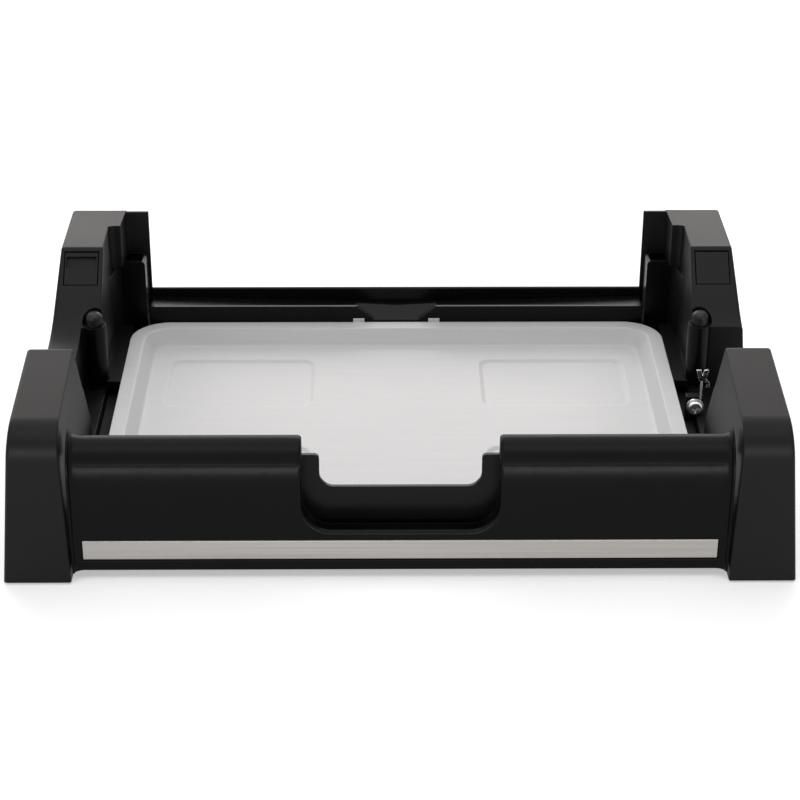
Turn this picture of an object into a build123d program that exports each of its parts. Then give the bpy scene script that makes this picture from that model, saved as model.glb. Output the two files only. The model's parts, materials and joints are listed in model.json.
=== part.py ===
from build123d import *
import os
from math import cos, radians, sin, tan

# Base of an electric table grill with its drip tray.
# Millimetres, X across, Y from front to rear, Z up, origin under the middle of the base.

# Overall sizes and the fits that every piece shares
overall_width = 480.0
overall_depth = 320.0
foot_stand = 1.0          # room under the housings, held open by the feet
wall = 2.6                # moulded wall
fit_gap = 0.2             # between fixed pieces
running_gap = 0.3         # between a moving piece and its neighbours
cut_overrun = 5.0         # how far a cut runs past the face that it opens

# Side housings: front leg, valley and rear tower in one moulding
side_lean = 5.25          # the outer faces lean in, degrees
inner_lean = 1.2          # the inner faces lean out, degrees
side_width = 41.0         # of a housing, at the floor
leg_nose_height = 102.7
leg_nose_radius = 20.0
leg_height = 114.4
leg_top_share = 0.28125   # of the depth, back to the leg's highest line
leg_back_run = 28.0
valley_height = 65.0
valley_front_radius = 32.0
tower_height = 110.0
tower_top_share = 0.209375
tower_slope = 43.5        # of the tower's front face, degrees
tower_foot_radius = 55.0
crest_radius = 3.0
side_edge_radius = 2.4
inner_edge_radius = 1.4
tower_turn_share = 0.78125  # of the depth, where the tower's inner face turns inward
tower_inset = 48.0        # from the widest line to the tower's inner face, at the rear
wing_inset = 63.5         # from the widest line to the wing's inner edge
wing_height = 108.7
bay_front_share = 0.4125  # the bay for the plug-in control unit, and the notch across from it
bay_rear_share = 0.65
bay_slope_step = 0.4      # from the leg's back to the bay's sloping front
notch_inset = 26.5        # from the widest line to the end of the left housing's notch
sill_height = 24.0
ledge_height = 30.0
ledge_thickness = 5.0

# Hinge blocks at the towers' backs and the sockets below them
hinge_block_depth = 30.0
hinge_block_taper = 1.5
hinge_hollow_radius = 6.5
socket_inset = 2.2          # behind the wing's inner edge
socket_height = 78.5
socket_floor_height = 42.0
socket_front_offset = 21.0
socket_corner_radius = 3.0

# Spring plungers and their guides
plunger_inset = 35.0
plunger_bay_gap = 5.0
plunger_diameter = 11.2
plunger_top_height = 80.0
plunger_dome_radius = 4.4
flange_width = 0.7
flange_thickness = 1.5
guide_wall = 1.2
guide_foot_height = 26.0
guide_top_height = 71.0
guide_collar = 2.0
guide_seat_thickness = 5.0
spring_wire = 0.8
plunger_spring_diameter = 10.0

# Lid lock buttons on the towers' sloping fronts
button_inset = 24.4
button_gap = 0.6
button_width = 22.4
button_length = 24.0
button_thickness = 4.6
button_brow_margin = 2.8
button_edge_radius = 1.2
button_tab_width = 18.0
button_tab_reach = 1.4
button_stem_diameter = 7.0
button_stem_length = 3.4
button_well_depth = 13.0
button_seat_width = 27.0
button_seat_length = 14.0
button_seat_thickness = 2.0
button_spring_gap = 0.3
scoop_width = 20.4
scoop_length = 8.0
scoop_depth = 2.4
scoop_margin = 3.4

# Bottom covers, feet and screws
cover_thickness = 3.0
cover_screw_shares = (0.09375, 0.525, 0.9375)
boss_diameter = 11.0
boss_height = 16.0
boss_offset = 4.5
foot_diameter = 16.0
foot_recess = 1.5
foot_shares = (0.1625, 0.86875)
screw_shank = 3.0
screw_head = 6.0
screw_head_height = 1.4
screw_length = 10.0
short_screw_bite = 1.8

# Front panel, trim strip and grip
panel_setback = 6.0
panel_bottom_height = 6.2
panel_crest_height = 89.4
panel_roll_depth = 16.0
panel_roll_height = 24.4
panel_rear_depth = 24.2
panel_rear_lip = 12.0
panel_end_gap = 0.9
panel_lip_flare = 4.0
panel_lip_thickness = 1.2
panel_flare_run = 7.2       # over which the skin curves out to a lip
panel_flare_angles = (0, 30, 60, 90)
grip_width = 118.4
grip_bottom_height = 33.0
grip_corner_radius = 18.0
grip_edge_radius = 2.4
liner_sink = 4.0            # of its floor below the opening's edge
liner_opening_width = 97.6
liner_bottom_height = 55.1
liner_top_height = 77.0
liner_corner_radius = 9.0
liner_post_radius = 3.0
strip_end_room = 6.2
strip_bottom_height = 13.5
strip_height = 12.9
strip_thickness = 1.0
strip_recess = 1.2
strip_gap = 0.7
strip_corner_radius = 1.6
strip_bevel = 0.3

# Rear wall and drain trough
rear_wall_inset = 2.4
rear_wall_height = 50.4
rear_wall_radius = 1.0
trough_front_offset = 23.0
trough_lip = 2.4
trough_lip_height = 44.0
trough_middle_height = 39.4
chute_bottom_height = 33.4
chute_top_width = 58.0
chute_bottom_width = 32.0
chute_slope = 26.0        # degrees

# Drip tray
tray_side_room = 10.6
tray_gap = 0.8
tray_rim_height = 32.0
tray_depth = 11.0
tray_wall_run = 7.0
tray_flange = 9.0
tray_sheet = 0.8
tray_corner_radius = 27.0
tray_bend_radius = 2.2
tray_rim_radius = 1.3
recess_width_share = 0.27
recess_length_share = 0.258
recess_depth = 1.6
recess_run = 3.0
recess_radius = 9.0
recess_column_share = 0.287
recess_row_share = 0.232
tab_width = 8.0
tab_height = 3.0
tab_reach = 27.0

# Base pan
pan_floor = 2.4
pan_side_gap = 0.5
pan_rib = 2.0
pan_rib_shares = (-0.55, 0, 0.55)
pan_screw_height = 11.0
pan_screw_shares = (0.3, 0.70625)
panel_screw_shares = (-0.8, -0.3, 0.3, 0.8)

# Control unit catch: a sprung wire arm with a hook, held by one screw on an upright tab
catch_inset = 41.5
catch_bay_offset = 39.0   # from the bay's front to the tab
catch_height = 30.5
catch_tab_width = 11.0
catch_tab_thickness = 6.0
catch_tab_top = 36.5
catch_wire = 1.4
catch_eye_radius = 3.6
catch_eye_turn = 270.0
catch_arm_length = 23.5
catch_shank = 4.0
catch_head = 9.6
catch_head_height = 3.0
catch_slot_length = 5.8
catch_slot_width = 1.2
catch_slot_depth = 1.6
washer_diameter = 11.6
washer_thickness = 1.0
hook_top_width = 8.4
hook_foot_width = 4.0
hook_height = 8.0
hook_sheet = 0.8
hook_notch_width = 2.0
hook_notch_depth = 4.2
hook_arm_radius = 4.2
hook_arm_width = 1.8
hook_arm_turn = 115.0

# Lines that several pieces share
front = -overall_depth / 2
rear = overall_depth / 2
leg_inner_reach = overall_width / 2 - side_width
leg_top = front + leg_top_share * overall_depth
tower_brow = rear - tower_top_share * overall_depth
tower_turn = front + tower_turn_share * overall_depth
tower_inner_reach = overall_width / 2 - tower_inset
wing_reach = overall_width / 2 - wing_inset
bay_front = front + bay_front_share * overall_depth
bay_rear = front + bay_rear_share * overall_depth
notch_reach = overall_width / 2 - notch_inset
hinge_block_front = rear - hinge_block_depth
tower_foot = tower_brow - (tower_height - valley_height) / tan(radians(tower_slope))
valley_front = leg_top + leg_back_run
tray_floor_height = tray_rim_height - tray_depth
pan_top = tray_floor_height - recess_depth - tray_sheet - running_gap
pan_reach = leg_inner_reach - pan_side_gap
panel_front = front + panel_setback
panel_back = panel_front + wall
panel_rear = front + panel_rear_depth
pan_front = panel_back + fit_gap
rear_wall_front = rear - rear_wall_inset - wall
pan_rear = rear_wall_front - fit_gap
trough_front = rear - trough_front_offset
liner_back = panel_rear
tray_front = liner_back + tray_gap
tray_rear = trough_front - tray_gap
tray_length = tray_rear - tray_front
tray_middle = (tray_front + tray_rear) / 2
tray_width = 2 * (leg_inner_reach - tray_side_room)
strip_length = 2 * (leg_inner_reach - strip_end_room)
ledge_reach = tray_width / 2 + tray_gap
collar_bore = plunger_diameter + 2 * running_gap
flange_diameter = plunger_diameter + 2 * flange_width
guide_bore = flange_diameter + 2 * running_gap
guide_diameter = guide_bore + 2 * guide_wall
guide_floor_height = guide_foot_height + guide_collar
flange_top = guide_top_height - guide_collar - running_gap
flange_bottom = flange_top - flange_thickness
plunger_reach = overall_width / 2 - plunger_inset
plunger_y = bay_rear + plunger_bay_gap
button_reach = overall_width / 2 - button_inset
catch_reach = overall_width / 2 - catch_inset
catch_y = bay_front + catch_bay_offset
cover_screw_ys = [front + share * overall_depth for share in cover_screw_shares]
foot_ys = [front + share * overall_depth for share in foot_shares]
pan_screw_ys = [front + share * overall_depth for share in pan_screw_shares]
pan_rib_reaches = [share * pan_reach for share in pan_rib_shares]
panel_screw_reaches = [share * pan_reach for share in panel_screw_shares]
cover_top = foot_stand + cover_thickness
screw_hole = screw_shank + 2 * fit_gap
head_hole = screw_head + 2 * fit_gap


def outer_face(height):
    return overall_width / 2 - height * tan(radians(side_lean))


def inner_face(height):
    return leg_inner_reach + height * tan(radians(inner_lean))


# The tower's inner face, behind the depth where it turns inward
def tower_face(y):
    turn_face = inner_face(tower_height) + wall
    return turn_face + (tower_inner_reach - turn_face) * (y - tower_turn) / (rear - tower_turn)


cover_inner = inner_face(cover_top) + wall + fit_gap
cover_outer = outer_face(cover_top) - wall - fit_gap
boss_reach = inner_face(cover_top) + wall + boss_offset

# The plane of the right button, on the tower's sloping front
slope_cos = cos(radians(tower_slope))
slope_sin = sin(radians(tower_slope))
button_drop = button_brow_margin + button_length / 2 + button_gap
button_plane = Plane(
    origin=(button_reach, tower_brow - button_drop * slope_cos, tower_height - button_drop * slope_sin),
    x_dir=(1, 0, 0),
    z_dir=(0, -slope_sin, slope_cos),
)


def block(x_span, y_span, z_span, mode=Mode.ADD):
    x_low, x_high = x_span
    y_low, y_high = y_span
    z_low, z_high = z_span
    with Locations(((x_low + x_high) / 2, (y_low + y_high) / 2, (z_low + z_high) / 2)):
        Box(x_high - x_low, y_high - y_low, z_high - z_low, mode=mode)


def rod(x, y, z_span, diameter, mode=Mode.ADD):
    z_low, z_high = z_span
    with Locations((x, y, (z_low + z_high) / 2)):
        Cylinder(diameter / 2, z_high - z_low, mode=mode)


def side_outline(bottom):
    with BuildLine() as outline:
        FilletPolyline(
            (front, bottom),
            (front, leg_nose_height),
            (leg_top, leg_height),
            (valley_front, valley_height),
            (tower_foot, valley_height),
            (tower_brow, tower_height),
            (rear, tower_height),
            (rear, bottom),
            radius=(0, leg_nose_radius, crest_radius, valley_front_radius, tower_foot_radius,
                    crest_radius, crest_radius, 0),
            close=True,
        )
    make_face(outline.edges())


def leaning_prism(inset, bottom):
    with BuildSketch(Plane.XZ) as section:
        with BuildLine():
            Polyline(
                (inner_face(bottom) + inset, bottom),
                (outer_face(bottom) - inset, bottom),
                (outer_face(leg_height) - inset, leg_height),
                (inner_face(leg_height) + inset, leg_height),
                close=True,
            )
        make_face()
    extrude(section.sketch, amount=overall_depth, both=True)


# The side view of the bay: upright behind, and in front in line with the leg's back
def bay_face(grow):
    run_share = leg_back_run / (leg_height - valley_height)
    slope_top = leg_height + cut_overrun
    slope_start = leg_top + bay_slope_step
    bay_corner = leg_height - (bay_front - slope_start) / run_share
    with BuildLine() as outline:
        Polyline(
            (bay_front, sill_height),
            (bay_front, bay_corner),
            (slope_start - cut_overrun * run_share, slope_top),
            (bay_rear, slope_top),
            (bay_rear, sill_height),
            close=True,
        )
    make_face(outline.edges())
    if grow > 0:
        offset(amount=grow, kind=Kind.INTERSECTION, mode=Mode.REPLACE)


# The body of a right-hand side housing, before its cavity and openings
def housing_body():
    tower_plane = tower_face(tower_turn)
    hollow = hinge_hollow_radius
    with BuildPart() as envelope:
        leaning_prism(0, foot_stand)
        with BuildSketch(Plane.XY.offset(pan_top + fit_gap)):
            with BuildLine():
                Polyline(
                    (tower_plane, tower_turn),
                    (tower_inner_reach, rear),
                    (tower_plane, rear),
                    close=True,
                )
            make_face()
        extrude(amount=socket_height - pan_top - fit_gap)
        # Hinge block, with a hollow corner in front of it for the lid's pin
        with BuildSketch(Plane.XY.offset(socket_height)):
            with BuildLine():
                CenterArc(
                    (tower_plane - hollow, hinge_block_front - hollow), hollow, start_angle=0, arc_size=90,
                )
                Polyline(
                    (tower_plane - hollow, hinge_block_front),
                    (tower_inner_reach + hinge_block_taper, hinge_block_front),
                    (tower_inner_reach, rear),
                    (tower_plane, rear),
                    (tower_plane, hinge_block_front - hollow),
                )
            make_face()
        extrude(amount=tower_height - socket_height)
        block((wing_reach, leg_inner_reach + wall), (rear - wall, rear), (panel_bottom_height, wing_height))
        block(
            (ledge_reach, leg_inner_reach + wall),
            (bay_rear, trough_front),
            (ledge_height - ledge_thickness, ledge_height),
        )
    with BuildPart() as body:
        with BuildSketch(Plane.YZ.offset(wing_reach)):
            side_outline(foot_stand)
        extrude(amount=overall_width / 2 - wing_reach)
        add(envelope.part, mode=Mode.INTERSECT)
        outer = body.faces().sort_by(Axis.X)[-1]
        outer_edges = [edge for edge in outer.edges() if edge.center().Z > foot_stand + wall]
        fillet(outer_edges, side_edge_radius)
        nose_edges = [
            edge
            for edge in body.edges()
            if edge.center().Y < valley_front and edge.center().Z > leg_nose_height - leg_nose_radius
            and abs(edge.center().X - inner_face(edge.center().Z)) < fit_gap and edge.length > leg_nose_radius
        ]
        fillet(nose_edges, inner_edge_radius)
    return body.part


# The hollow inside a right-hand side housing, open below
def housing_cavity(bay_reach):
    cavity_bottom = foot_stand - wall - cut_overrun
    with BuildPart() as slab:
        leaning_prism(wall, cavity_bottom)
    with BuildPart() as cavity:
        with BuildSketch(Plane.YZ.offset(leg_inner_reach)):
            side_outline(cavity_bottom)
            offset(amount=-wall, mode=Mode.REPLACE)
        extrude(amount=overall_width / 2 - leg_inner_reach)
        add(slab.part, mode=Mode.INTERSECT)
        with BuildSketch(Plane.YZ.offset(leg_inner_reach - cut_overrun)):
            bay_face(wall)
        extrude(amount=bay_reach + wall - leg_inner_reach + cut_overrun, mode=Mode.SUBTRACT)
    return cavity.part


# A right-hand side housing, with a bay that reaches this far across it
def side_housing(bay_reach, has_catch):
    body = housing_body()
    cavity = housing_cavity(bay_reach)
    with BuildPart() as housing:
        add(body)
        with BuildSketch(Plane.YZ.offset(leg_inner_reach - cut_overrun)):
            bay_face(0)
        extrude(amount=bay_reach - leg_inner_reach + cut_overrun, mode=Mode.SUBTRACT)
        add(cavity, mode=Mode.SUBTRACT)
        # Seat of the button's spring, across the tower's cavity
        with BuildSketch(button_plane.offset(-button_well_depth)):
            Rectangle(button_seat_width, button_seat_length)
        extrude(amount=-button_seat_thickness)
        with BuildSketch(button_plane.offset(cut_overrun)):
            Rectangle(button_width + 2 * button_gap, button_length + 2 * button_gap)
        extrude(amount=-cut_overrun - button_thickness, mode=Mode.SUBTRACT)
        # Notch and seat of the plunger's guide
        rod(
            plunger_reach, plunger_y,
            (guide_foot_height - guide_seat_thickness, guide_foot_height), guide_diameter,
        )
        rod(
            plunger_reach, plunger_y,
            (guide_foot_height, tower_height + cut_overrun), guide_diameter + 2 * fit_gap,
            mode=Mode.SUBTRACT,
        )
        # Bosses of the bottom cover, and holes for the pan's screws
        for y in cover_screw_ys:
            rod(boss_reach, y, (cover_top, cover_top + boss_height), boss_diameter)
            rod(boss_reach, y, (foot_stand, cover_top + boss_height), screw_hole, mode=Mode.SUBTRACT)
        for y in pan_screw_ys:
            with BuildSketch(Plane.YZ.offset(leg_inner_reach - cut_overrun)):
                with Locations((y, pan_screw_height)):
                    Circle(screw_hole / 2)
            extrude(amount=2 * cut_overrun + wall, mode=Mode.SUBTRACT)
        # Blind hole of the hinge socket's screw, in the wing
        with BuildSketch(Plane.XZ.offset(wall - rear)):
            with Locations((socket_screw_reach, socket_screw_height)):
                Circle(screw_hole / 2)
        extrude(amount=-short_screw_bite, mode=Mode.SUBTRACT)
        if has_catch:
            block(
                (catch_reach - catch_tab_width / 2, catch_reach + catch_tab_width / 2),
                (catch_y, catch_y + catch_tab_thickness),
                (pan_top + fit_gap, catch_tab_top),
            )
            with BuildSketch(Plane.XZ.offset(-catch_y - catch_tab_thickness)):
                with Locations((catch_reach, catch_height)):
                    Circle(catch_shank / 2 + fit_gap)
            extrude(amount=catch_tab_thickness, mode=Mode.SUBTRACT)
    return housing.part


# A screw along +Z, with its head's underside on the plane
def screw(plane, length):
    with BuildPart() as fastener:
        with BuildSketch(plane):
            Circle(screw_head / 2)
        extrude(amount=-screw_head_height)
        with BuildSketch(plane):
            Circle(screw_shank / 2)
        extrude(amount=length)
    return fastener.part


socket_front = rear - socket_front_offset
socket_rear = rear - wall - fit_gap
socket_outer = tower_face(socket_rear) - fit_gap
socket_inner = wing_reach + socket_inset
socket_screw_reach = (socket_inner + wall + socket_outer) / 2
socket_screw_height = (socket_floor_height + socket_height) / 2

parts = {}

# Side housings
with BuildPart() as right_side_housing:
    add(side_housing(overall_width / 2 + cut_overrun, True))
parts["right_side_housing"] = right_side_housing

with BuildPart() as left_side_housing:
    mirror(side_housing(notch_reach, False), about=Plane.YZ)
parts["left_side_housing"] = left_side_housing

# Bottom covers, each with two recesses for feet and three screw holes
foot_reach = (cover_inner + cover_outer) / 2 + boss_diameter / 2
with BuildPart() as right_bottom_cover:
    block(
        (cover_inner, cover_outer),
        (front + wall + fit_gap, rear - wall - fit_gap),
        (foot_stand, cover_top),
    )
    for y in foot_ys:
        rod(foot_reach, y, (foot_stand, foot_stand + foot_recess), foot_diameter, mode=Mode.SUBTRACT)
    for y in cover_screw_ys:
        rod(boss_reach, y, (foot_stand, cover_top), screw_hole, mode=Mode.SUBTRACT)
        rod(boss_reach, y, (foot_stand, foot_stand + screw_head_height), head_hole, mode=Mode.SUBTRACT)
parts["right_bottom_cover"] = right_bottom_cover

with BuildPart() as left_bottom_cover:
    mirror(right_bottom_cover.part, about=Plane.YZ)
parts["left_bottom_cover"] = left_bottom_cover

# Rubber feet, pressed into the covers
with BuildPart() as rubber_feet:
    for side in (-1, 1):
        for y in foot_ys:
            rod(side * foot_reach, y, (0, foot_stand + foot_recess), foot_diameter)
parts["rubber_feet"] = rubber_feet

# Screws of the bottom covers
with BuildPart() as cover_screws:
    for side in (-1, 1):
        for y in cover_screw_ys:
            head_seat = Plane((side * boss_reach, y, foot_stand + screw_head_height))
            add(screw(head_seat, screw_length))
parts["cover_screws"] = cover_screws

# Base pan: a raised floor with skirts and ribs below it
with BuildPart() as base_pan:
    block((-pan_reach, pan_reach), (pan_front, pan_rear), (panel_bottom_height, pan_top))
    block(
        (-pan_reach + wall, pan_reach - wall),
        (pan_front + wall, pan_rear - wall),
        (panel_bottom_height - cut_overrun, pan_top - pan_floor),
        mode=Mode.SUBTRACT,
    )
    for reach in pan_rib_reaches:
        block(
            (reach - pan_rib / 2, reach + pan_rib / 2),
            (pan_front, pan_rear),
            (panel_bottom_height, pan_top),
        )
    for y in pan_screw_ys:
        with BuildSketch(Plane.YZ):
            with Locations((y, pan_screw_height)):
                Circle(screw_hole / 2)
        extrude(amount=pan_reach + cut_overrun, both=True, mode=Mode.SUBTRACT)
    for reach in panel_screw_reaches:
        with BuildSketch(Plane.XZ.offset(-pan_front - wall)):
            with Locations((reach, pan_screw_height)):
                Circle(screw_hole / 2)
        extrude(amount=wall, mode=Mode.SUBTRACT)
    for reach in panel_screw_reaches:
        with BuildSketch(Plane.XZ.offset(-pan_rear)):
            with Locations((reach, pan_screw_height)):
                Circle(screw_hole / 2)
        extrude(amount=wall, mode=Mode.SUBTRACT)
parts["base_pan"] = base_pan


# The region behind the panel's skin, grown by a thickness, at one station across
def panel_section(across, grow, rear_face, bottom):
    roll_y = panel_front + panel_roll_depth
    roll_z = panel_crest_height - panel_roll_height
    with BuildSketch(Plane.YZ.offset(across)) as section:
        with BuildLine():
            Polyline(
                (roll_y, panel_crest_height + grow),
                (rear_face, panel_crest_height + grow),
                (rear_face, bottom),
                (panel_front - grow, bottom),
                (panel_front - grow, roll_z),
            )
            EllipticalCenterArc(
                (roll_y, roll_z), panel_roll_depth + grow, panel_roll_height + grow,
                start_angle=90, arc_size=90,
            )
        make_face()
    return section.sketch


# A U-shaped opening seen from the front, open above
def u_face(half_width, bottom, top, corner_radius):
    with BuildLine() as outline:
        FilletPolyline(
            (-half_width, top),
            (-half_width, bottom),
            (half_width, bottom),
            (half_width, top),
            radius=(0, corner_radius, corner_radius, 0),
            close=True,
        )
    make_face(outline.edges())


# Front panel: a rolled skin between the legs, with flared lips at its ends and the grip's opening
panel_reach = leg_inner_reach - panel_end_gap
lip_start = panel_reach - panel_lip_thickness
with BuildPart() as front_panel:
    extrude(panel_section(0, 0, panel_rear, panel_bottom_height), amount=panel_reach, both=True)
    for side, lip_across in ((-1, -panel_reach), (1, lip_start)):
        lip = panel_section(lip_across, panel_lip_flare, panel_rear, panel_bottom_height)
        extrude(lip, amount=panel_lip_thickness)
        flare = []
        for angle in panel_flare_angles:
            across = lip_start - panel_flare_run * (1 - sin(radians(angle)))
            rise = panel_lip_flare * (1 - cos(radians(angle))) - fit_gap
            flare.append(panel_section(side * across, rise, panel_rear, panel_bottom_height))
        loft(flare)
    hollow = panel_section(0, -wall, panel_rear - wall, panel_bottom_height - cut_overrun)
    extrude(hollow, amount=panel_reach + cut_overrun, both=True, mode=Mode.SUBTRACT)
    block(
        (-panel_reach - cut_overrun, panel_reach + cut_overrun),
        (panel_back, panel_rear + cut_overrun),
        (panel_bottom_height - cut_overrun, panel_crest_height - panel_rear_lip),
        mode=Mode.SUBTRACT,
    )
    with BuildSketch(Plane.XZ.offset(-panel_rear - cut_overrun)):
        u_face(grip_width / 2, grip_bottom_height, panel_crest_height + cut_overrun, grip_corner_radius)
    extrude(amount=panel_rear_depth + 2 * cut_overrun, mode=Mode.SUBTRACT)
    grip_edges = [
        edge
        for edge in front_panel.edges()
        if abs(edge.center().X) < grip_width / 2 + fit_gap and edge.bounding_box().min.Y < panel_front + fit_gap
        and grip_bottom_height - fit_gap < edge.center().Z
    ]
    fillet(grip_edges, grip_edge_radius)
    block(
        (-strip_length / 2 - strip_gap, strip_length / 2 + strip_gap),
        (panel_front, panel_front + strip_recess),
        (strip_bottom_height - strip_gap, strip_bottom_height + strip_height + strip_gap),
        mode=Mode.SUBTRACT,
    )
    for reach in panel_screw_reaches:
        with BuildSketch(Plane.XZ.offset(-panel_back)):
            with Locations((reach, pan_screw_height)):
                Circle(screw_hole / 2)
        extrude(amount=short_screw_bite, mode=Mode.SUBTRACT)
parts["front_panel"] = front_panel

# Brushed strip let into the panel's foot
with BuildPart() as front_trim_strip:
    block(
        (-strip_length / 2, strip_length / 2),
        (panel_front + strip_recess - strip_thickness, panel_front + strip_recess),
        (strip_bottom_height, strip_bottom_height + strip_height),
    )
    fillet(front_trim_strip.edges().filter_by(Axis.Y), strip_corner_radius)
    chamfer(front_trim_strip.faces().sort_by(Axis.Y)[0].edges(), strip_bevel)
parts["front_trim_strip"] = front_trim_strip

# Grip liner: the scoop behind the panel's opening, with a lower opening in its back
liner_reach = grip_width / 2 + fit_gap
liner_floor = grip_bottom_height - liner_sink
liner_radius = grip_corner_radius + fit_gap
with BuildPart() as grip_liner:
    with BuildSketch(Plane.XZ.offset(-liner_back)):
        u_face(liner_reach + wall, liner_floor - wall, liner_top_height, liner_radius + wall)
    extrude(amount=liner_back - panel_front)
    with BuildSketch(Plane.XZ.offset(wall - liner_back)):
        u_face(liner_reach, liner_floor, liner_top_height + cut_overrun, liner_radius)
    extrude(amount=liner_back - panel_front, mode=Mode.SUBTRACT)
    with BuildSketch(Plane.XZ.offset(-liner_back)):
        u_face(
            liner_opening_width / 2, liner_bottom_height, liner_top_height + cut_overrun, liner_corner_radius,
        )
    extrude(amount=wall, mode=Mode.SUBTRACT)
    post_corners = (
        grip_liner.edges()
        .filter_by(Axis.Y)
        .filter_by(lambda edge: edge.center().Z > liner_top_height - fit_gap)
        .filter_by(lambda edge: abs(edge.center().X) < liner_reach - fit_gap)
    )
    fillet(post_corners, liner_post_radius)
    inside = panel_section(0, -wall - fit_gap, liner_back, panel_bottom_height)
    extrude(inside, amount=panel_reach, both=True, mode=Mode.INTERSECT)
parts["grip_liner"] = grip_liner

# Rear wall between the towers' wings
with BuildPart() as rear_wall:
    block(
        (-wing_reach + fit_gap, wing_reach - fit_gap),
        (rear_wall_front, rear_wall_front + wall),
        (panel_bottom_height, rear_wall_height),
    )
    fillet(rear_wall.faces().sort_by(Axis.Z)[-1].edges().filter_by(Axis.X), rear_wall_radius)
    for reach in panel_screw_reaches:
        with BuildSketch(Plane.XZ.offset(-rear_wall_front)):
            with Locations((reach, pan_screw_height)):
                Circle(screw_hole / 2)
        extrude(amount=-wall, mode=Mode.SUBTRACT)
parts["rear_wall"] = rear_wall

# Drain trough: its floor falls to the middle, where a chute through the lip lets fat into the tray
trough_reach = wing_reach - fit_gap
with BuildPart() as drain_trough:
    block((-trough_reach, trough_reach), (trough_front, pan_rear), (pan_top, trough_lip_height))
    with BuildSketch(Plane.XZ.offset(-pan_rear)):
        with BuildLine():
            Polyline(
                (-trough_reach, trough_lip_height),
                (0, trough_middle_height),
                (trough_reach, trough_lip_height),
                (trough_reach, trough_lip_height + cut_overrun),
                (-trough_reach, trough_lip_height + cut_overrun),
                close=True,
            )
        make_face()
    extrude(amount=pan_rear - trough_front - trough_lip, mode=Mode.SUBTRACT)
    lip_rear = trough_front + trough_lip
    with BuildSketch(Plane.XZ.offset(-trough_front)) as chute_mouth:
        with BuildLine():
            Polyline(
                (-chute_top_width / 2, trough_lip_height),
                (-chute_bottom_width / 2, chute_bottom_height),
                (chute_bottom_width / 2, chute_bottom_height),
                (chute_top_width / 2, trough_lip_height),
                (chute_top_width / 2, trough_lip_height + cut_overrun),
                (-chute_top_width / 2, trough_lip_height + cut_overrun),
                close=True,
            )
        make_face()
    chute_rise = (0, cos(radians(chute_slope)), sin(radians(chute_slope)))
    lip_run = trough_lip / cos(radians(chute_slope))
    extrude(chute_mouth.sketch, amount=lip_run, dir=chute_rise, mode=Mode.SUBTRACT)
    with BuildSketch(Plane.YZ) as chute_bed:
        with BuildLine():
            Polyline(
                (lip_rear, chute_bottom_height + trough_lip * tan(radians(chute_slope))),
                (pan_rear, chute_bottom_height + (pan_rear - trough_front) * tan(radians(chute_slope))),
                (pan_rear, trough_lip_height + cut_overrun),
                (lip_rear, trough_lip_height + cut_overrun),
                close=True,
            )
        make_face()
    extrude(chute_bed.sketch, amount=chute_top_width / 2, both=True, mode=Mode.SUBTRACT)
    block(
        (-trough_reach + wall, trough_reach - wall),
        (trough_front + trough_lip, pan_rear - wall),
        (pan_top - cut_overrun, chute_bottom_height - wall),
        mode=Mode.SUBTRACT,
    )
parts["drain_trough"] = drain_trough

# Hinge sockets: open-topped pockets that take the lid's rear arms
with BuildPart() as right_hinge_socket:
    with BuildSketch(Plane.XY.offset(pan_top)):
        with BuildLine():
            Polyline(
                (socket_inner, socket_front),
                (tower_face(socket_front) - fit_gap, socket_front),
                (socket_outer, socket_rear),
                (socket_inner, socket_rear),
                close=True,
            )
        make_face()
    extrude(amount=socket_height - pan_top)
    inner_corner = right_hinge_socket.edges().filter_by(Axis.Y).sort_by(Axis.Z)[-1]
    fillet(inner_corner, socket_corner_radius)
    block(
        (socket_inner + wall, socket_outer + tower_inset),
        (socket_front + wall, socket_rear - wall),
        (socket_floor_height, socket_height + cut_overrun),
        mode=Mode.SUBTRACT,
    )
    block(
        (wing_reach + wall, socket_outer - wall),
        (socket_front + wall, socket_rear - wall),
        (pan_top - cut_overrun, socket_floor_height - wall),
        mode=Mode.SUBTRACT,
    )
    with BuildSketch(Plane.XZ.offset(-socket_rear)):
        with Locations((socket_screw_reach, socket_screw_height)):
            Circle(screw_hole / 2)
    extrude(amount=wall, mode=Mode.SUBTRACT)
parts["right_hinge_socket"] = right_hinge_socket

with BuildPart() as left_hinge_socket:
    mirror(right_hinge_socket.part, about=Plane.YZ)
parts["left_hinge_socket"] = left_hinge_socket


# Plunger guide: a tube with a floor, and a collar at its top that keeps the plunger in
def plunger_guide(reach):
    with BuildPart() as guide:
        rod(reach, plunger_y, (guide_foot_height, guide_top_height), guide_diameter)
        rod(
            reach, plunger_y,
            (guide_floor_height, guide_top_height - guide_collar), guide_bore, mode=Mode.SUBTRACT,
        )
        rod(reach, plunger_y, (guide_floor_height, guide_top_height), collar_bore, mode=Mode.SUBTRACT)
    return guide


# Plunger: a domed pin with a flange under the guide's collar
def plunger(reach):
    with BuildPart() as pin:
        rod(reach, plunger_y, (flange_bottom, plunger_top_height), plunger_diameter)
        fillet(pin.edges().sort_by(Axis.Z)[-1], plunger_dome_radius)
        rod(reach, plunger_y, (flange_bottom, flange_top), flange_diameter)
    return pin


# Plunger spring: the sleeve that the hidden coil fills
def plunger_spring(reach):
    with BuildPart() as sleeve:
        rod(reach, plunger_y, (guide_floor_height, flange_bottom), plunger_spring_diameter)
        rod(
            reach, plunger_y, (guide_floor_height, flange_bottom),
            plunger_spring_diameter - 2 * spring_wire, mode=Mode.SUBTRACT,
        )
    return sleeve


for side_name, side in (("left", -1), ("right", 1)):
    parts[side_name + "_plunger_guide"] = plunger_guide(side * plunger_reach)
    parts[side_name + "_plunger"] = plunger(side * plunger_reach)
    parts[side_name + "_plunger_spring"] = plunger_spring(side * plunger_reach)


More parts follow.
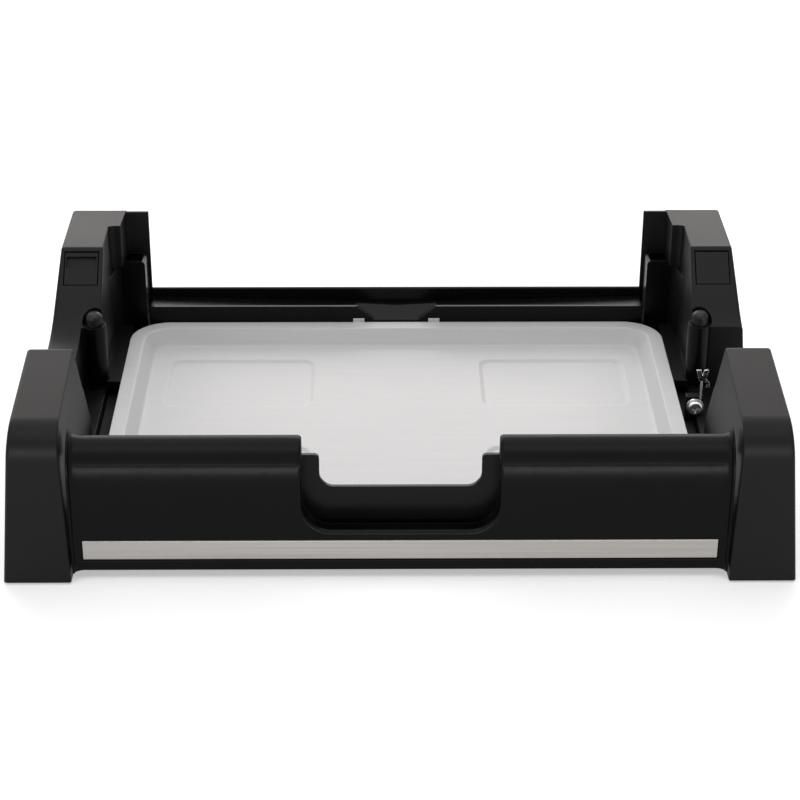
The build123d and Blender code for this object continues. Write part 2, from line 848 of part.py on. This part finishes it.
# Lock button: a cap, two tabs that stop it under the tower's skin, and a stem for its spring
def lock_button(has_scoop):
    tab_start = wall + running_gap
    with BuildPart() as button:
        with BuildSketch(button_plane):
            Rectangle(button_width, button_length)
        extrude(amount=-button_thickness)
        fillet(button.faces().sort_by(Axis.Z)[-1].edges(), button_edge_radius)
        with BuildSketch(button_plane.offset(-tab_start)):
            Rectangle(button_tab_width, button_length + 2 * (button_gap + button_tab_reach))
        extrude(amount=tab_start - button_thickness)
        with BuildSketch(button_plane.offset(-button_thickness)):
            Circle(button_stem_diameter / 2)
        extrude(amount=-button_stem_length)
        if has_scoop:
            with BuildSketch(button_plane):
                with Locations((0, button_length / 2 - scoop_margin - scoop_length / 2)):
                    Rectangle(scoop_width, scoop_length)
            extrude(amount=-scoop_depth, mode=Mode.SUBTRACT)
    return button.part


with BuildPart() as right_lock_button:
    add(lock_button(False))
parts["right_lock_button"] = right_lock_button

with BuildPart() as left_lock_button:
    mirror(lock_button(True), about=Plane.YZ)
parts["left_lock_button"] = left_lock_button

# Button springs: sleeves that the hidden coils fill, round the stems
spring_bore = button_stem_diameter + 2 * button_spring_gap
with BuildPart() as right_button_spring:
    with BuildSketch(button_plane.offset(-button_well_depth)):
        Circle(spring_bore / 2 + spring_wire)
        Circle(spring_bore / 2, mode=Mode.SUBTRACT)
    extrude(amount=button_well_depth - button_thickness)
parts["right_button_spring"] = right_button_spring

with BuildPart() as left_button_spring:
    mirror(right_button_spring.part, about=Plane.YZ)
parts["left_button_spring"] = left_button_spring


# A pressed form of the tray: a rounded rectangle that narrows by a run as it goes down
def pressed_form(middle, width, length, radius, run, top, bottom, mode):
    x, y = middle
    with BuildSketch(Plane((x, y, top))) as mouth:
        RectangleRounded(width, length, radius)
    with BuildSketch(Plane((x, y, bottom))) as floor:
        RectangleRounded(width - 2 * run, length - 2 * run, radius - run)
    loft([mouth.sketch.face(), floor.sketch.face()], ruled=True, mode=mode)


# Drip tray: a pressed sheet with a flat rim, slanted walls and four shallow recesses
dish_width = tray_width - 2 * tray_flange
dish_length = tray_length - 2 * tray_flange
dish_radius = tray_corner_radius - tray_flange
recess_width = recess_width_share * tray_width
recess_length = recess_length_share * tray_length
recess_middles = [
    (column * recess_column_share * tray_width, tray_middle + row * recess_row_share * tray_length)
    for column in (-1, 1)
    for row in (-1, 1)
]
with BuildPart() as drip_tray:
    with BuildSketch(Plane((0, tray_middle, tray_rim_height))):
        RectangleRounded(tray_width, tray_length, tray_corner_radius)
    extrude(amount=-tray_sheet)
    pressed_form(
        (0, tray_middle), dish_width, dish_length, dish_radius, tray_wall_run,
        tray_rim_height, tray_floor_height - tray_sheet, Mode.ADD,
    )
    pressed_form(
        (0, tray_middle), dish_width - 2 * tray_sheet, dish_length - 2 * tray_sheet,
        dish_radius - tray_sheet, tray_wall_run, tray_rim_height, tray_floor_height, Mode.SUBTRACT,
    )
    floor_face = drip_tray.faces().filter_by(Plane.XY).sort_by(Axis.Z)[1]
    fillet(floor_face.outer_wire().edges(), tray_bend_radius)
    rim_face = drip_tray.faces().filter_by(Plane.XY).sort_by(Axis.Z)[-1]
    fillet(rim_face.inner_wires()[0].edges(), tray_rim_radius)
    for middle in recess_middles:
        pressed_form(
            middle, recess_width, recess_length, recess_radius, recess_run,
            tray_floor_height - tray_sheet, tray_floor_height - tray_sheet - recess_depth, Mode.ADD,
        )
    for middle in recess_middles:
        pressed_form(
            middle, recess_width, recess_length, recess_radius, recess_run,
            tray_floor_height, tray_floor_height - recess_depth, Mode.SUBTRACT,
        )
    for side in (-1, 1):
        block(
            (side * tab_reach - tab_width / 2, side * tab_reach + tab_width / 2),
            (tray_rear - tray_sheet, tray_rear),
            (tray_rim_height - tray_sheet, tray_rim_height + tab_height),
        )
parts["drip_tray"] = drip_tray

# Catch: a wire arm that turns about its screw, with a sheet hook at its tip
eye_y = catch_y - running_gap - catch_wire / 2
arm_x = catch_reach + catch_eye_radius
arm_top = catch_height + catch_arm_length
with BuildPart() as catch_arm:
    with BuildLine(Plane.XZ.offset(-eye_y)) as arm_path:
        CenterArc(
            (catch_reach, catch_height), catch_eye_radius,
            start_angle=-catch_eye_turn, arc_size=catch_eye_turn,
        )
        Line((arm_x, catch_height), (arm_x, arm_top))
    with BuildSketch(Plane(origin=arm_path.wire() @ 0, z_dir=arm_path.wire() % 0)):
        Circle(catch_wire / 2)
    sweep(path=arm_path.wire())
parts["catch_arm"] = catch_arm

hook_back = eye_y - catch_wire / 2 - fit_gap
hook_foot = arm_top - hook_height / 2
with BuildPart() as catch_hook:
    with BuildSketch(Plane.XZ.offset(-hook_back)):
        with BuildLine():
            Polyline(
                (arm_x - hook_foot_width / 2, hook_foot),
                (arm_x + hook_foot_width / 2, hook_foot),
                (arm_x + hook_top_width / 2, hook_foot + hook_height),
                (arm_x + hook_notch_width / 2, hook_foot + hook_height),
                (arm_x, hook_foot + hook_height - hook_notch_depth),
                (arm_x - hook_notch_width / 2, hook_foot + hook_height),
                (arm_x - hook_top_width / 2, hook_foot + hook_height),
                close=True,
            )
        make_face()
        with BuildLine() as hook_curl:
            CenterArc(
                (arm_x, hook_foot + hook_arm_width / 2 - hook_arm_radius), hook_arm_radius,
                start_angle=90, arc_size=-hook_arm_turn,
            )
        trace(hook_curl.edges(), line_width=hook_arm_width)
    extrude(amount=hook_sheet)
parts["catch_hook"] = catch_hook

# Screw and washer that hold the catch on its tab
washer_back = eye_y - catch_wire / 2 - running_gap
head_back = washer_back - washer_thickness
with BuildPart() as catch_washer:
    with BuildSketch(Plane.XZ.offset(-washer_back)):
        with Locations((catch_reach, catch_height)):
            Circle(washer_diameter / 2)
            Circle(catch_shank / 2 + fit_gap, mode=Mode.SUBTRACT)
    extrude(amount=washer_thickness)
parts["catch_washer"] = catch_washer

with BuildPart() as catch_screw:
    with BuildSketch(Plane.XZ.offset(-head_back)):
        with Locations((catch_reach, catch_height)):
            Circle(catch_head / 2)
    extrude(amount=catch_head_height)
    fillet(catch_screw.edges().sort_by(Axis.Y)[0], catch_head_height / 2)
    with BuildSketch(Plane.XZ.offset(-head_back)):
        with Locations((catch_reach, catch_height)):
            Circle(catch_shank / 2)
    extrude(amount=head_back - catch_y - catch_tab_thickness)
    with BuildSketch(Plane.XZ.offset(catch_head_height - head_back)):
        with Locations((catch_reach, catch_height)):
            Rectangle(catch_slot_length, catch_slot_width)
            Rectangle(catch_slot_width, catch_slot_length)
    extrude(amount=-catch_slot_depth, mode=Mode.SUBTRACT)
parts["catch_screw"] = catch_screw

# Screws between the pan and the side housings, the panel and the rear wall
with BuildPart() as pan_screws:
    side_screw_length = wall + pan_side_gap + inner_face(pan_screw_height) - leg_inner_reach + wall
    for side in (-1, 1):
        for y in pan_screw_ys:
            seat = Plane((side * (pan_reach - wall), y, pan_screw_height), z_dir=(side, 0, 0))
            add(screw(seat, side_screw_length))
parts["pan_screws"] = pan_screws

with BuildPart() as panel_screws:
    for reach in panel_screw_reaches:
        seat = Plane((reach, pan_front + wall, pan_screw_height), z_dir=(0, -1, 0))
        add(screw(seat, wall + fit_gap + short_screw_bite))
parts["panel_screws"] = panel_screws

with BuildPart() as rear_screws:
    for reach in panel_screw_reaches:
        seat = Plane((reach, rear_wall_front + wall, pan_screw_height), z_dir=(0, -1, 0))
        add(screw(seat, wall + fit_gap + wall))
parts["rear_screws"] = rear_screws

# Screws of the hinge sockets, from inside their pockets into the wings
with BuildPart() as socket_screws:
    for side in (-1, 1):
        seat = Plane((side * socket_screw_reach, socket_rear - wall, socket_screw_height), z_dir=(0, 1, 0))
        add(screw(seat, wall + fit_gap + short_screw_bite))
parts["socket_screws"] = socket_screws

os.makedirs("parts", exist_ok=True)
for part_name, piece in parts.items():
    piece.part.label = part_name
    export_step(piece.part, "parts/" + part_name + ".step")
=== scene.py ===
import json
import math
import bpy
from mathutils import Matrix, Vector


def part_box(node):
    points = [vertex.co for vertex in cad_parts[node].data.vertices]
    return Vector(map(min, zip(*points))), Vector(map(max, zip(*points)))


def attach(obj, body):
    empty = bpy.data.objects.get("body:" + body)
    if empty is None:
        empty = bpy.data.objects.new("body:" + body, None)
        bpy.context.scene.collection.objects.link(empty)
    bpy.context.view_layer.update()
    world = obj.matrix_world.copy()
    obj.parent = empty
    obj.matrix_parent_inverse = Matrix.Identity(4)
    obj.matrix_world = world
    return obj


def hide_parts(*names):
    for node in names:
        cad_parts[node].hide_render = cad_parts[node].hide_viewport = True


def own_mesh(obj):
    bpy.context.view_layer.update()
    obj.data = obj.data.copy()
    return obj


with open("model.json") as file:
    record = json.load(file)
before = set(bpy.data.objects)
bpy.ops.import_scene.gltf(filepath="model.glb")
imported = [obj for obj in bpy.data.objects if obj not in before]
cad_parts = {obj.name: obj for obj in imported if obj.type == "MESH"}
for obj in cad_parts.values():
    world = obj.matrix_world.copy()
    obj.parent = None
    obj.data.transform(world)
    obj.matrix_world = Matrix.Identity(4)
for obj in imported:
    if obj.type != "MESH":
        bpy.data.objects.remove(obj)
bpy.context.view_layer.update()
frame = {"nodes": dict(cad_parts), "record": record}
nodes = frame["nodes"]
scene = bpy.context.scene
scene.view_settings.view_transform = "Standard"
print("frame loaded,", len(nodes), "nodes")


# helpers for node trees
def makeGroup(name, inputs, outputs):
    group = bpy.data.node_groups.new(name, "ShaderNodeTree")
    for label, kind, value in inputs:
        socket = group.interface.new_socket(name=label, in_out="INPUT", socket_type=kind)
        socket.default_value = value
    for label, kind in outputs:
        group.interface.new_socket(name=label, in_out="OUTPUT", socket_type=kind)
    return group, group.nodes.new("NodeGroupInput"), group.nodes.new("NodeGroupOutput")


# a source is either a socket to link from or a plain value
def addNode(tree, kind, sources=None, **values):
    node = tree.nodes.new(kind)
    for key, value in values.items():
        setattr(node, key, value)
    for socket, source in (sources or {}).items():
        if hasattr(source, "is_linked"):
            tree.links.new(source, node.inputs[socket])
        else:
            node.inputs[socket].default_value = source
    return node


def calc(tree, operation, first, second, clamp=False):
    return addNode(tree, "ShaderNodeMath", {0: first, 1: second}, operation=operation, use_clamp=clamp).outputs[0]


def plus(tree, first, second, clamp=False):
    return calc(tree, "ADD", first, second, clamp)


def times(tree, first, second, clamp=False):
    return calc(tree, "MULTIPLY", first, second, clamp)


def spread(tree, value, low, high, newLow, newHigh):
    return addNode(tree, "ShaderNodeMapRange", {
        "Value": value, "From Min": low, "From Max": high, "To Min": newLow, "To Max": newHigh}).outputs[0]


# inputs 6 and 7 and output 2 of a mix node are its colours
def mixColour(tree, factor, first, second):
    return addNode(tree, "ShaderNodeMix", {0: factor, 6: first, 7: second}, data_type="RGBA").outputs[2]


def objectPlace(tree):
    return addNode(tree, "ShaderNodeTexCoord").outputs["Object"]


def grey(value, warm=0.0):
    return (value * (1 + warm), value, value * (1 - warm), 1.0)


# shader node groups that several finishes share

noiseBand = dict(low=0.3, high=0.7)  # the part of a noise that is spread from 0 to 1


def fullSpread(tree, noise, low=noiseBand["low"], high=noiseBand["high"]):
    return spread(tree, noise, low, high, 0.0, 1.0)


def buildMouldedGrain():
    group, given, result = makeGroup(
        "mouldedGrain",
        [("Size", "NodeSocketFloat", 900.0), ("Pits", "NodeSocketFloat", 0.5)],
        [("Height", "NodeSocketFloat"), ("Speckle", "NodeSocketFloat")])
    place = objectPlace(group)
    fine = addNode(group, "ShaderNodeTexNoise", {
        "Vector": place, "Scale": given.outputs["Size"], "Detail": 3.0, "Roughness": 0.62}).outputs["Fac"]
    cells = addNode(group, "ShaderNodeTexVoronoi", {
        "Vector": place, "Scale": given.outputs["Size"]}, feature="SMOOTH_F1").outputs["Distance"]
    pits = times(group, cells, given.outputs["Pits"])
    group.links.new(calc(group, "SUBTRACT", fine, pits), result.inputs["Height"])
    group.links.new(fullSpread(group, fine), result.inputs["Speckle"])
    return group


# film is where hands and wiping left a broad pattern, dust is the film that lies on faces looking up
def buildHandledFilm():
    group, given, result = makeGroup(
        "handledFilm",
        [("Size", "NodeSocketFloat", 9.0), ("Amount", "NodeSocketFloat", 0.5)],
        [("Film", "NodeSocketFloat"), ("Dust", "NodeSocketFloat")])
    broad = addNode(group, "ShaderNodeTexNoise", {
        "Vector": objectPlace(group), "Scale": given.outputs["Size"], "Detail": 5.0, "Roughness": 0.55,
        "Distortion": 0.4}).outputs["Fac"]
    film = fullSpread(group, broad, low=0.35)
    group.links.new(times(group, film, given.outputs["Amount"], True), result.inputs["Film"])
    facing = addNode(group, "ShaderNodeSeparateXYZ", {
        0: addNode(group, "ShaderNodeNewGeometry").outputs["Normal"]}).outputs["Z"]
    settled = times(group, calc(group, "MAXIMUM", facing, 0.0), film)
    group.links.new(settled, result.inputs["Dust"])
    return group


# a rounded normal at the edges, and a mask that is 1 on them
def buildSoftEdge():
    group, given, result = makeGroup(
        "softEdge",
        [("Radius", "NodeSocketFloat", 0.0006)],
        [("Normal", "NodeSocketVector"), ("Edge", "NodeSocketFloat")])
    rounded = addNode(group, "ShaderNodeBevel", {"Radius": given.outputs["Radius"]}, samples=6).outputs[0]
    flat = addNode(group, "ShaderNodeNewGeometry").outputs["Normal"]
    along = addNode(group, "ShaderNodeVectorMath", {0: rounded, 1: flat}, operation="DOT_PRODUCT").outputs["Value"]
    group.links.new(rounded, result.inputs["Normal"])
    group.links.new(fullSpread(group, along, low=1.0, high=0.8), result.inputs["Edge"])
    return group


def buildBrushedLines():
    group, given, result = makeGroup(
        "brushedLines",
        [("Stretch", "NodeSocketVector", (8.0, 900.0, 900.0)), ("Detail", "NodeSocketFloat", 4.0)],
        [("Height", "NodeSocketFloat"), ("Tone", "NodeSocketFloat")])
    drawn = addNode(group, "ShaderNodeVectorMath", {
        0: objectPlace(group), 1: given.outputs["Stretch"]}, operation="MULTIPLY").outputs[0]
    lines = addNode(group, "ShaderNodeTexNoise", {
        "Vector": drawn, "Scale": 1.0, "Detail": given.outputs["Detail"], "Roughness": 0.7}).outputs["Fac"]
    group.links.new(lines, result.inputs["Height"])
    group.links.new(fullSpread(group, lines), result.inputs["Tone"])
    return group


mouldedGrain = buildMouldedGrain()
handledFilm = buildHandledFilm()
softEdge = buildSoftEdge()
brushedLines = buildBrushedLines()
print("node groups built")


def placeGroup(tree, group, **values):
    node = addNode(tree, "ShaderNodeGroup", node_tree=group)
    for label, value in values.items():
        node.inputs[label].default_value = value
    return node.outputs


def startMaterial(name, **constants):
    material = bpy.data.materials.new(name)
    material.use_nodes = True
    tree = material.node_tree
    shader = tree.nodes["Principled BSDF"]
    for label, value in constants.items():
        shader.inputs[label.replace("_", " ")].default_value = value
    return material, tree, shader


# colour, uneven gloss and fine relief of one finish
def dressShader(tree, shader, look, colour, film, mask, height, normal):
    tree.links.new(colour, shader.inputs["Base Color"])
    filmed = plus(tree, times(tree, film, look["filmRough"]), look["rough"])
    tree.links.new(plus(tree, filmed, times(tree, mask, look["grainRough"])), shader.inputs["Roughness"])
    bump = addNode(tree, "ShaderNodeBump", {
        "Strength": look["bump"], "Distance": look["relief"], "Height": height, "Normal": normal})
    tree.links.new(bump.outputs[0], shader.inputs["Normal"])


# black mouldings: fine spark texture, handled film, edges a little paler, partly as wear and partly as a painted
# highlight

# the edge share, gain and warmth set how much paler the edges are painted, as wear and as a painted highlight
mouldingWearAndEdgeHighlight = dict(dark=0.8, light=1.2, warm=0.02, filmSize=11.0, dust=0.35, edgeWearAndHighlight=0.45, edgeWearAndHighlightGain=1.25,
                    edgeWearAndHighlightWarm=0.01, relief=0.00025)
mouldings = {
    "housingBlack": dict(colour=0.0028, pale=0.008, rough=0.40, filmRough=0.08, grainRough=0.04, specular=0.132,
                         grain=1500.0, pits=0.5, bump=0.10, edge=0.0008, film=0.5),
    "panelBlack": dict(colour=0.0020, pale=0.006, rough=0.27, filmRough=0.05, grainRough=0.025, specular=0.082,
                       grain=2100.0, pits=0.3, bump=0.05, edge=0.0011, film=0.4),
    "linerBlack": dict(colour=0.0022, pale=0.006, rough=0.24, filmRough=0.10, grainRough=0.05, specular=0.13,
                       grain=1700.0, pits=0.4, bump=0.06, edge=0.0005, film=0.5),
    "coverBlack": dict(colour=0.0080, pale=0.013, rough=0.52, filmRough=0.10, grainRough=0.05, specular=0.16,
                       grain=1300.0, pits=0.5, bump=0.10, edge=0.0005, film=0.6),
    "buttonBlack": dict(colour=0.0030, pale=0.008, rough=0.42, filmRough=0.08, grainRough=0.04, specular=0.130,
                        grain=1600.0, pits=0.4, bump=0.08, edge=0.0005, film=0.4),
    "plungerBlack": dict(colour=0.0060, pale=0.012, rough=0.36, filmRough=0.10, grainRough=0.05, specular=0.26,
                         grain=2400.0, pits=0.2, bump=0.03, edge=0.0003, film=0.4),
    "footRubber": dict(colour=0.0140, pale=0.024, rough=0.78, filmRough=0.10, grainRough=0.05, specular=0.20,
                       grain=1100.0, pits=0.8, bump=0.20, edge=0.0006, film=0.7),
}


def makeMoulding(name, look):
    material, tree, shader = startMaterial(name, Specular_IOR_Level=look["specular"], IOR=1.5)
    grain = placeGroup(tree, mouldedGrain, Size=look["grain"], Pits=look["pits"])
    film = placeGroup(tree, handledFilm, Size=look["filmSize"], Amount=look["film"])
    edge = placeGroup(tree, softEdge, Radius=look["edge"])
    colour = look["colour"]
    pale = look["pale"]
    tint = mixColour(tree, grain["Speckle"], grey(colour * look["dark"]), grey(colour * look["light"], look["warm"]))
    dusty = mixColour(tree, times(tree, film["Dust"], look["dust"]), tint, grey(pale, look["warm"]))
    # edges mixed towards a paler colour: partly wear, partly a painted highlight along the rounded edges
    wornAndHighlighted = mixColour(tree, times(tree, edge["Edge"], look["edgeWearAndHighlight"]), dusty,
                     grey(pale * look["edgeWearAndHighlightGain"], look["edgeWearAndHighlightWarm"]))
    dressShader(tree, shader, look, wornAndHighlighted, film["Film"], grain["Speckle"], grain["Height"], edge["Normal"])
    return material


finishes = {name: makeMoulding(name, {**mouldingWearAndEdgeHighlight, **look}) for name, look in mouldings.items()}
print("mouldings:", ", ".join(finishes))

# pressed tray sheet: rolled lines, a speckle and a painted highlight that makes the folds brighter

# the fold share and tone paint a highlight along the sheet's folds and edges
sheetLook = dict(
    colour=0.64, warm=-0.006, dark=0.965, light=1.025, metallic=0.05, specular=0.35,
    rough=0.58, filmRough=0.06, grainRough=0.05, filmSize=6.0, film=0.8,
    grain=1400.0, pits=0.2, bump=0.05, relief=0.0002,
    stretch=(14.0, 420.0, 420.0), detail=3.0, lines=0.4, linesDark=0.88,
    edge=0.0011, foldHighlight=0.85, foldHighlightTone=0.92)


def makeTraySheet(name, look):
    material, tree, shader = startMaterial(name, Metallic=look["metallic"], Specular_IOR_Level=look["specular"])
    grain = placeGroup(tree, mouldedGrain, Size=look["grain"], Pits=look["pits"])
    film = placeGroup(tree, handledFilm, Size=look["filmSize"], Amount=look["film"])
    edge = placeGroup(tree, softEdge, Radius=look["edge"])
    rolled = placeGroup(tree, brushedLines, Stretch=look["stretch"], Detail=look["detail"])
    colour = look["colour"]
    warm = look["warm"]
    tone = mixColour(tree, grain["Speckle"], grey(colour * look["dark"], warm), grey(colour * look["light"]))
    lined = mixColour(tree, times(tree, rolled["Tone"], look["lines"]), tone, grey(colour * look["linesDark"], warm))
    # folds and edges mixed towards near white as a painted highlight
    bright = mixColour(tree, times(tree, edge["Edge"], look["foldHighlight"]), lined, grey(look["foldHighlightTone"]))
    dressShader(tree, shader, look, bright, film["Film"], grain["Speckle"], grain["Height"], edge["Normal"])
    return material


finishes["traySheet"] = makeTraySheet("traySheet", sheetLook)

# brushed and plated steel

# the edge share, gain and limit set how much brighter the edges are painted, as wear and as a painted highlight
steelWearAndEdgeHighlight = dict(dark=0.86, light=1.14, detail=5.0, filmSize=16.0, film=0.6, handled=0.4, handledDark=0.82,
                 edgeWearAndHighlight=0.5, edgeWearAndHighlightGain=1.4, edgeWearAndHighlightLimit=0.9, filmRough=0.08, grainRough=0.10, relief=0.0001)
steels = {
    "stripSteel": dict(colour=0.325, warm=0.055, rough=0.30, stretch=(6.0, 1500.0, 1500.0), bump=0.10, edge=0.0002),
    "screwSteel": dict(colour=0.70, warm=0.01, rough=0.28, stretch=(700.0, 700.0, 700.0), bump=0.06, edge=0.0003),
    "springSteel": dict(colour=0.42, warm=0.005, rough=0.30, stretch=(900.0, 900.0, 60.0), bump=0.05, edge=0.0001),
    "hookNickel": dict(colour=0.88, warm=0.01, rough=0.16, stretch=(500.0, 500.0, 500.0), bump=0.03, edge=0.0002),
}


def makeSteel(name, look):
    material, tree, shader = startMaterial(name, Metallic=1.0)
    lines = placeGroup(tree, brushedLines, Stretch=look["stretch"], Detail=look["detail"])
    film = placeGroup(tree, handledFilm, Size=look["filmSize"], Amount=look["film"])
    edge = placeGroup(tree, softEdge, Radius=look["edge"])
    colour = look["colour"]
    warm = look["warm"]
    tone = mixColour(tree, lines["Tone"], grey(colour * look["dark"], warm), grey(colour * look["light"], warm))
    handled = mixColour(tree, times(tree, film["Film"], look["handled"]), tone,
                        grey(colour * look["handledDark"], warm))
    # edges mixed towards a brighter colour: partly wear, partly a painted highlight
    bright = mixColour(tree, times(tree, edge["Edge"], look["edgeWearAndHighlight"]), handled,
                       grey(min(look["edgeWearAndHighlightLimit"], colour * look["edgeWearAndHighlightGain"])))
    dressShader(tree, shader, look, bright, film["Film"], lines["Tone"], lines["Height"], edge["Normal"])
    return material


for steelName, steelLook in steels.items():
    finishes[steelName] = makeSteel(steelName, {**steelWearAndEdgeHighlight, **steelLook})
print("metals: traySheet,", ", ".join(steels))

finishOfSlot = {
    "housing_plastic": "housingBlack", "panel_plastic": "panelBlack", "liner_plastic": "linerBlack",
    "cover_plastic": "coverBlack", "button_plastic": "buttonBlack", "plunger_plastic": "plungerBlack",
    "foot_rubber": "footRubber", "tray_aluminium": "traySheet", "strip_steel": "stripSteel",
    "screw_steel": "screwSteel", "spring_steel": "springSteel", "hook_nickel": "hookNickel",
}
for entry in frame["record"]["subparts"]:
    for place in nodes[entry["node"]].material_slots:
        place.material = finishes[finishOfSlot[entry["material_slot"]]]

# coil springs in place of the sleeves that hold their room

coilLook = dict(stepsPerTurn=20, roundness=2, inset=0.0005)  # inset of the wire's middle from the sleeve's outside
springs = {
    "plunger": dict(turns=9, wire=0.0008, travel=0.006),
    "button": dict(turns=4.5, wire=0.0007, travel=0.003),
}


def makeCoil(name, foot, head, radius, look):
    axis = (head - foot).normalized()
    across = axis.orthogonal().normalized()
    aside = axis.cross(across)
    steps = int(look["turns"] * coilLook["stepsPerTurn"])
    reach = (head - foot).length
    curve = bpy.data.curves.new(name, "CURVE")
    curve.dimensions = "3D"
    curve.bevel_depth = look["wire"] / 2
    curve.bevel_resolution = coilLook["roundness"]
    line = curve.splines.new("POLY")
    line.points.add(steps)
    for index, point in enumerate(line.points):
        share = index / steps
        turn = share * look["turns"] * 2 * math.pi
        rise = look["wire"] / 2 + share * (reach - look["wire"])
        spot = foot + axis * rise + (across * math.cos(turn) + aside * math.sin(turn)) * radius
        point.co = (*spot, 1.0)
    path = bpy.data.objects.new(name + "Path", curve)
    mesh = bpy.data.meshes.new_from_object(path)
    bpy.data.objects.remove(path)
    mesh.materials.clear()
    mesh.materials.append(finishes["springSteel"])
    mesh.polygons.foreach_set("use_smooth", [True] * len(mesh.polygons))
    coil = bpy.data.objects.new(name, mesh)
    scene.collection.objects.link(coil)
    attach(coil, "base")
    return coil


# a spring stands on its foot and reaches up to its head as one fixed coil
def placeSpring(sideName, kind, foot, head, radius):
    look = springs[kind]
    coil = makeCoil(sideName + kind.capitalize() + "Coil", foot, head, radius - coilLook["inset"], look)
    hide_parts(sideName + "_" + kind + "_spring")
    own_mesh(coil)


pressAxis = Vector((0.0, 0.68835, -0.72537))  # way of a lock button, square to its tower's sloping front
for sideName in ("left", "right"):
    low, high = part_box(sideName + "_plunger_spring")
    middle = (low + high) / 2
    placeSpring(sideName, "plunger", Vector((middle.x, middle.y, low.z)), Vector((middle.x, middle.y, high.z)),
                (high.x - low.x) / 2)
    low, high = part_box(sideName + "_button_spring")
    middle = (low + high) / 2
    radius = (high.x - low.x) / 2
    half = ((high.z - low.z) - 2 * radius * pressAxis.y) / (2 * -pressAxis.z)  # of the slanted sleeve's length
    placeSpring(sideName, "button", middle + pressAxis * half, middle - pressAxis * half, radius)
print("coil springs made")

# floor, light and camera

white = (1, 1, 1, 1)
floorLook = dict(reach=9.0, drop=0.0004, tone=0.86, filmDark=0.985, filmSize=3.0, film=0.5, rough=0.9, specular=0.1,
                 lift=0.42, farLift=0.92, nearReach=0.9, farReach=3.2)


# 1 for what the camera sees directly, in a gloss or through glass, and 0 for light that falls on the part
def seenShare(tree):
    ray = addNode(tree, "ShaderNodeLightPath").outputs
    return plus(tree, ray["Is Camera Ray"], plus(tree, ray["Is Glossy Ray"], ray["Is Transmission Ray"]), True)


def makeFloor(look):
    reach = look["reach"]
    corners = [(-reach, -reach, 0), (reach, -reach, 0), (reach, reach, 0), (-reach, reach, 0)]
    mesh = bpy.data.meshes.new("studioFloor")
    mesh.from_pydata(corners, [], [(0, 1, 2, 3)])
    floor = bpy.data.objects.new("studioFloor", mesh)
    floor.location.z = -look["drop"]
    scene.collection.objects.link(floor)
    material, tree, shader = startMaterial(
        "paleFloor", Roughness=look["rough"], Specular_IOR_Level=look["specular"], Emission_Color=white)
    paper = placeGroup(tree, handledFilm, Size=look["filmSize"], Amount=look["film"])
    tone = mixColour(tree, paper["Film"], grey(look["tone"]), grey(look["tone"] * look["filmDark"]))
    tree.links.new(tone, shader.inputs["Base Color"])
    away = addNode(tree, "ShaderNodeVectorMath", {0: objectPlace(tree)}, operation="LENGTH").outputs["Value"]
    lift = spread(tree, away, look["nearReach"], look["farReach"], look["lift"], look["farLift"])
    tree.links.new(times(tree, seenShare(tree), lift), shader.inputs["Emission Strength"])
    mesh.materials.append(material)


worldLook = dict(fill=0.14, seen=1.0)


def makeWorld(look):
    world = bpy.data.worlds.new("studioWorld")
    scene.world = world
    world.use_nodes = True
    tree = world.node_tree
    backdrop = tree.nodes["Background"]
    backdrop.inputs["Color"].default_value = white
    level = spread(tree, seenShare(tree), 0.0, 1.0, look["fill"], look["seen"])
    tree.links.new(level, backdrop.inputs["Strength"])


softboxes = {
    "topSoftbox": dict(spot=(0.0, 0.30, 1.9), aim=(0, 0.0, 0), size=(2.4, 1.3), power=13.0,
                       tint=(1.0, 0.985, 0.97)),
    "upperFrontSoftbox": dict(spot=(0.0, -0.85, 1.75), aim=(0, 0, 0.05), size=(2.4, 0.8), power=12.0,
                              tint=(0.96, 0.975, 1.0)),
    "backSoftbox": dict(spot=(-0.2, 2.3, 1.35), aim=(0, 0, 0.1), size=(3.6, 1.5), power=58.0,
                        tint=(1.0, 0.955, 0.935)),
    "leftSoftbox": dict(spot=(-1.9, -1.0, 1.1), aim=(0, 0, 0.05), size=(1.0, 1.0), power=4.0,
                        tint=(1.0, 0.99, 0.98)),
    "frontStrip": dict(spot=(0.0, -3.2, 0.18), aim=(0, 0, 0.08), size=(4.0, 0.20), power=70.0,
                       tint=(0.93, 0.96, 1.0)),
}


def makeSoftbox(name, look):
    light = bpy.data.lights.new(name, "AREA")
    light.shape = "RECTANGLE"
    light.size, light.size_y = look["size"]
    light.energy = look["power"]
    light.color = look["tint"]
    lamp = bpy.data.objects.new(name, light)
    lamp.location = look["spot"]
    lamp.rotation_euler = (Vector(look["aim"]) - lamp.location).to_track_quat("-Z", "Y").to_euler()
    lamp.visible_camera = False
    scene.collection.objects.link(lamp)


# spot in metres, turns in degrees, focal length and picture width in pixels
view = dict(spot=(-0.01428, -1.25871, 0.70828), pitch=27.941, yaw=0.704, roll=0.202,
            focal=2151.7, picture=800.0, sensor=36.0, clipEnd=60.0)


def makeCamera(look):
    data = bpy.data.cameras.new("photoCamera")
    data.sensor_width = look["sensor"]
    data.lens = look["focal"] / look["picture"] * data.sensor_width
    data.clip_end = look["clipEnd"]
    camera = bpy.data.objects.new("photoCamera", data)
    turn = (Matrix.Rotation(-math.radians(look["yaw"]), 4, "Z")
            @ Matrix.Rotation(math.radians(90 - look["pitch"]), 4, "X")
            @ Matrix.Rotation(math.radians(look["roll"]), 4, "Z"))
    camera.matrix_world = Matrix.Translation(look["spot"]) @ turn
    scene.collection.objects.link(camera)
    scene.camera = camera


makeFloor(floorLook)
makeWorld(worldLook)
for boxName, boxLook in softboxes.items():
    makeSoftbox(boxName, boxLook)
makeCamera(view)
print("studio ready")
